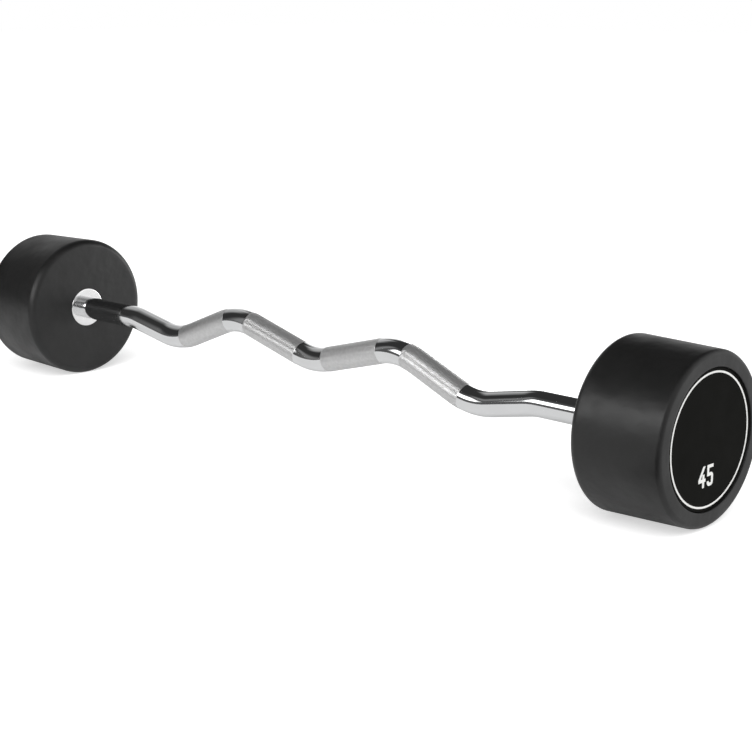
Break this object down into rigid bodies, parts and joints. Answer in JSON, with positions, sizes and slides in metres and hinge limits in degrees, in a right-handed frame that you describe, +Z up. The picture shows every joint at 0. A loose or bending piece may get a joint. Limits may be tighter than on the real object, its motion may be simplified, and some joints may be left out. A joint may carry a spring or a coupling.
{
  "type": "fixed-weight curl barbell",
  "caption": "Cranked chromed curl bar with knurled grips, closed at both ends by round rubber-covered weight heads with a sunk end plate.",
  "frame": {"origin": "on the floor, under the middle of the bar", "axes": "+X along the bar, +Z up, +Y across the bar so that the bar's cranks lie in the XZ plane"},
  "size_m": [1.198, 0.2, 0.2],
  "materials": {
    "chromed_bar": "bright chrome plate on steel, cut diamond knurl on the grips",
    "polished_ring": "bright turned steel",
    "black_rubber": "matt moulded rubber",
    "black_plate": "satin black with a white printed ring and number",
    "cast_core": "rough casting",
    "plated_steel": "zinc plated",
    "mounting_tape": "closed-cell foam tape"
  },
  "bodies": {
    "root": {"curl_bar": "chromed_bar", "left_shoulder_ring": "polished_ring", "left_head_core": "cast_core", "left_rubber_casing": "black_rubber", "left_lock_key": "plated_steel", "left_retaining_washer": "plated_steel", "left_spring_washer": "plated_steel", "left_end_bolt": "plated_steel", "left_end_plate": "black_plate", "left_plate_tape": "mounting_tape", "right_shoulder_ring": "polished_ring", "right_head_core": "cast_core", "right_rubber_casing": "black_rubber", "right_lock_key": "plated_steel", "right_retaining_washer": "plated_steel", "right_spring_washer": "plated_steel", "right_end_bolt": "plated_steel", "right_end_plate": "black_plate", "right_plate_tape": "mounting_tape"}
  },
  "joints": []
}
